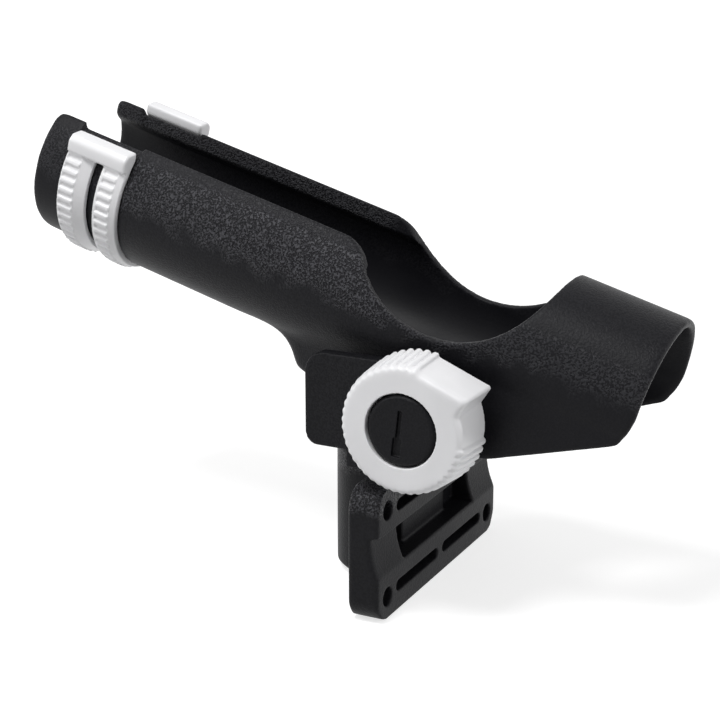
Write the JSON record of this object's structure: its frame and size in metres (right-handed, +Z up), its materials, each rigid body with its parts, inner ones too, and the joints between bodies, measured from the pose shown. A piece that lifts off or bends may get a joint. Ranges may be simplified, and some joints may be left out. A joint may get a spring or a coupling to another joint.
{
  "type": "fishing rod holder",
  "caption": "Side-mount fishing rod holder: slotted cradle with a turning lock ring, tilting in a swivel fork clamped by a ribbed knob, on a screw-on base plate.",
  "frame": {"origin": "on the mount face, at the centre of the four screw holes", "axes": "+X out of the mount face, towards the butt end of the cradle; +Y along the tilt axis, away from the knob; +Z up"},
  "size_m": [0.2342, 0.0991, 0.1531],
  "materials": {
    "body_plastic": "moulded leather grain, satin",
    "white_plastic": "smooth satin gloss",
    "cap_plastic": "smooth satin",
    "nylon": "plain",
    "steel": "bright",
    "brass": "bright"
  },
  "bodies": {
    "base": {"mount_base": "body_plastic", "thrust_washer": "nylon"},
    "fork": {"yoke": "body_plastic", "swivel_washer": "steel", "swivel_spring_washer": "steel", "swivel_screw": "steel", "pivot_bolt": "steel"},
    "cradle": {"cradle": "body_plastic", "friction_discs": "nylon"},
    "ring": {"lock_ring": "white_plastic"},
    "knob": {"knob": "white_plastic", "knob_insert": "brass", "knob_cap": "cap_plastic", "knob_washer": "steel"}
  },
  "joints": [
    {"name": "swivel", "type": "hinge", "parent": "base", "child": "fork", "pos_m": [-0.0196, 0, 0.02], "axis": [0, 0, 1], "continuous": true},
    {"name": "tilt", "type": "hinge", "parent": "fork", "child": "cradle", "pos_m": [0.008, 0, 0.0455], "axis": [0, 1, 0], "range_deg": [-20, 24]},
    {"name": "ring_turn", "type": "hinge", "parent": "cradle", "child": "ring", "pos_m": [0.01393, 0, 0.06617], "axis": [-0.9613, 0, 0.2756], "continuous": true},
    {"name": "knob_turn", "type": "hinge", "parent": "fork", "child": "knob", "pos_m": [0.008, 0, 0.0455], "axis": [0, -1, 0], "range_deg": [-10, 180]}
  ]
}
